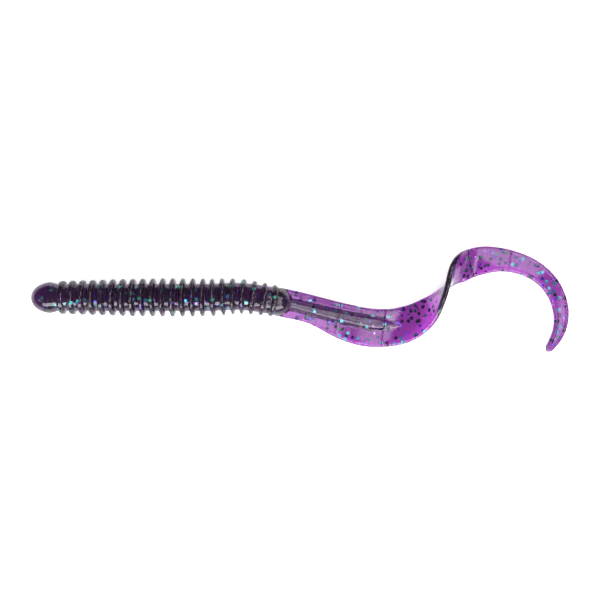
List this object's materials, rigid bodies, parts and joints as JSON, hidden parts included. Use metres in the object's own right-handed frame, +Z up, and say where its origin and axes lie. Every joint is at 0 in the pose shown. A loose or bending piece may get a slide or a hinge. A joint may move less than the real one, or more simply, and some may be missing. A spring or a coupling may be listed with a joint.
{
  "type": "soft plastic fishing worm",
  "caption": "Ribbed soft plastic fishing worm with a keeled ribbon tail that twists into a flat curl, foil flakes cast in, bending along its whole length.",
  "frame": {"origin": "bottom centre of the whole worm as it lies on a flat surface", "axes": "+X from the nose to the tail, +Y to the side that the first half of the curl lies on, +Z up"},
  "size_m": [0.1293, 0.0258, 0.0093],
  "materials": {
    "soft_plastic": "translucent, wet gloss",
    "green_foil": "metallised film",
    "blue_foil": "metallised film"
  },
  "bodies": {
    "nose": {"nose": "soft_plastic", "green_flakes_nose": "green_foil", "blue_flakes_nose": "blue_foil"},
    "rib_section_1": {"rib_section_1": "soft_plastic", "green_flakes_rib_section_1": "green_foil", "blue_flakes_rib_section_1": "blue_foil"},
    "rib_section_2": {"rib_section_2": "soft_plastic", "green_flakes_rib_section_2": "green_foil", "blue_flakes_rib_section_2": "blue_foil"},
    "rib_section_3": {"rib_section_3": "soft_plastic", "green_flakes_rib_section_3": "green_foil", "blue_flakes_rib_section_3": "blue_foil"},
    "rib_section_4": {"rib_section_4": "soft_plastic", "green_flakes_rib_section_4": "green_foil", "blue_flakes_rib_section_4": "blue_foil"},
    "rib_section_5": {"rib_section_5": "soft_plastic", "green_flakes_rib_section_5": "green_foil", "blue_flakes_rib_section_5": "blue_foil"},
    "tail_root": {"tail_root": "soft_plastic", "green_flakes_tail_root": "green_foil", "blue_flakes_tail_root": "blue_foil"},
    "keel_front": {"keel_front": "soft_plastic", "green_flakes_keel_front": "green_foil", "blue_flakes_keel_front": "blue_foil"},
    "keel_rear": {"keel_rear": "soft_plastic", "green_flakes_keel_rear": "green_foil", "blue_flakes_keel_rear": "blue_foil"},
    "ribbon_wide": {"ribbon_wide": "soft_plastic", "green_flakes_ribbon_wide": "green_foil", "blue_flakes_ribbon_wide": "blue_foil"},
    "twist_lower": {"twist_lower": "soft_plastic", "green_flakes_twist_lower": "green_foil", "blue_flakes_twist_lower": "blue_foil"},
    "twist_upper": {"twist_upper": "soft_plastic", "green_flakes_twist_upper": "green_foil", "blue_flakes_twist_upper": "blue_foil"},
    "curl_front": {"curl_front": "soft_plastic", "green_flakes_curl_front": "green_foil", "blue_flakes_curl_front": "blue_foil"},
    "curl_rear": {"curl_rear": "soft_plastic", "green_flakes_curl_rear": "green_foil", "blue_flakes_curl_rear": "blue_foil"},
    "tail_tip": {"tail_tip": "soft_plastic", "green_flakes_tail_tip": "green_foil", "blue_flakes_tail_tip": "blue_foil"}
  },
  "joints": [
    {"name": "bend_nose_rib_section_1", "type": "hinge", "parent": "nose", "child": "rib_section_1", "pos_m": [-0.05115, 0.00038, 0.00468], "axis": [0, 0, 1], "range_deg": [-11, 11], "stiffness_Nm_per_rad": 0.0012},
    {"name": "bend_rib_section_1_rib_section_2", "type": "hinge", "parent": "rib_section_1", "child": "rib_section_2", "pos_m": [-0.04401, 0.00038, 0.00468], "axis": [0, 1, 0], "range_deg": [-11, 11], "stiffness_Nm_per_rad": 0.0012},
    {"name": "bend_rib_section_2_rib_section_3", "type": "hinge", "parent": "rib_section_2", "child": "rib_section_3", "pos_m": [-0.03687, 0.00038, 0.00468], "axis": [0, 0, 1], "range_deg": [-11, 11], "stiffness_Nm_per_rad": 0.0012},
    {"name": "bend_rib_section_3_rib_section_4", "type": "hinge", "parent": "rib_section_3", "child": "rib_section_4", "pos_m": [-0.02973, 0.00038, 0.00468], "axis": [0, 1, 0], "range_deg": [-11, 11], "stiffness_Nm_per_rad": 0.0012},
    {"name": "bend_rib_section_4_rib_section_5", "type": "hinge", "parent": "rib_section_4", "child": "rib_section_5", "pos_m": [-0.02259, 0.00038, 0.00468], "axis": [0, 0, 1], "range_deg": [-11, 11], "stiffness_Nm_per_rad": 0.0012},
    {"name": "bend_rib_section_5_tail_root", "type": "hinge", "parent": "rib_section_5", "child": "tail_root", "pos_m": [-0.01545, 0.00063, 0.00468], "axis": [0, 1, 0], "range_deg": [-11, 11], "stiffness_Nm_per_rad": 0.0012},
    {"name": "bend_tail_root_keel_front", "type": "hinge", "parent": "tail_root", "child": "keel_front", "pos_m": [0.00307, -0.00276, 0.00268], "axis": [0.2459, 0.9693, 0], "range_deg": [-18, 18], "stiffness_Nm_per_rad": 0.0004},
    {"name": "bend_keel_front_keel_rear", "type": "hinge", "parent": "keel_front", "child": "keel_rear", "pos_m": [0.01381, -0.00515, 0.00189], "axis": [0.1803, 0.9836, -0.001], "range_deg": [-22, 22], "stiffness_Nm_per_rad": 0.00012},
    {"name": "bend_keel_rear_ribbon_wide", "type": "hinge", "parent": "keel_rear", "child": "ribbon_wide", "pos_m": [0.02518, -0.00606, 0.00122], "axis": [-0.2933, 0.9538, -0.0648], "range_deg": [-28, 28], "stiffness_Nm_per_rad": 0.00006},
    {"name": "bend_ribbon_wide_twist_lower", "type": "hinge", "parent": "ribbon_wide", "child": "twist_lower", "pos_m": [0.03178, -0.00081, 0.00347], "axis": [-0.2625, 0.4385, -0.8595], "range_deg": [-28, 28], "stiffness_Nm_per_rad": 0.00004},
    {"name": "bend_twist_lower_twist_upper", "type": "hinge", "parent": "twist_lower", "child": "twist_upper", "pos_m": [0.03664, 0.00621, 0.00345], "axis": [0.356, -0.5592, -0.7487], "range_deg": [-28, 28], "stiffness_Nm_per_rad": 0.00004},
    {"name": "bend_twist_upper_curl_front", "type": "hinge", "parent": "twist_upper", "child": "curl_front", "pos_m": [0.04478, 0.00953, 0.00113], "axis": [0.0763, -0.9884, 0.1314], "range_deg": [-30, 30], "stiffness_Nm_per_rad": 0.00003},
    {"name": "bend_curl_front_curl_rear", "type": "hinge", "parent": "curl_front", "child": "curl_rear", "pos_m": [0.05499, 0.00755, 0.00093], "axis": [-0.444, -0.889, 0.1117], "range_deg": [-30, 30], "stiffness_Nm_per_rad": 0.000025},
    {"name": "bend_curl_rear_tail_tip", "type": "hinge", "parent": "curl_rear", "child": "tail_tip", "pos_m": [0.06206, -0.00053, 0.00075], "axis": [-0.95, -0.3057, 0.0638], "range_deg": [-30, 30], "stiffness_Nm_per_rad": 0.000025}
  ]
}
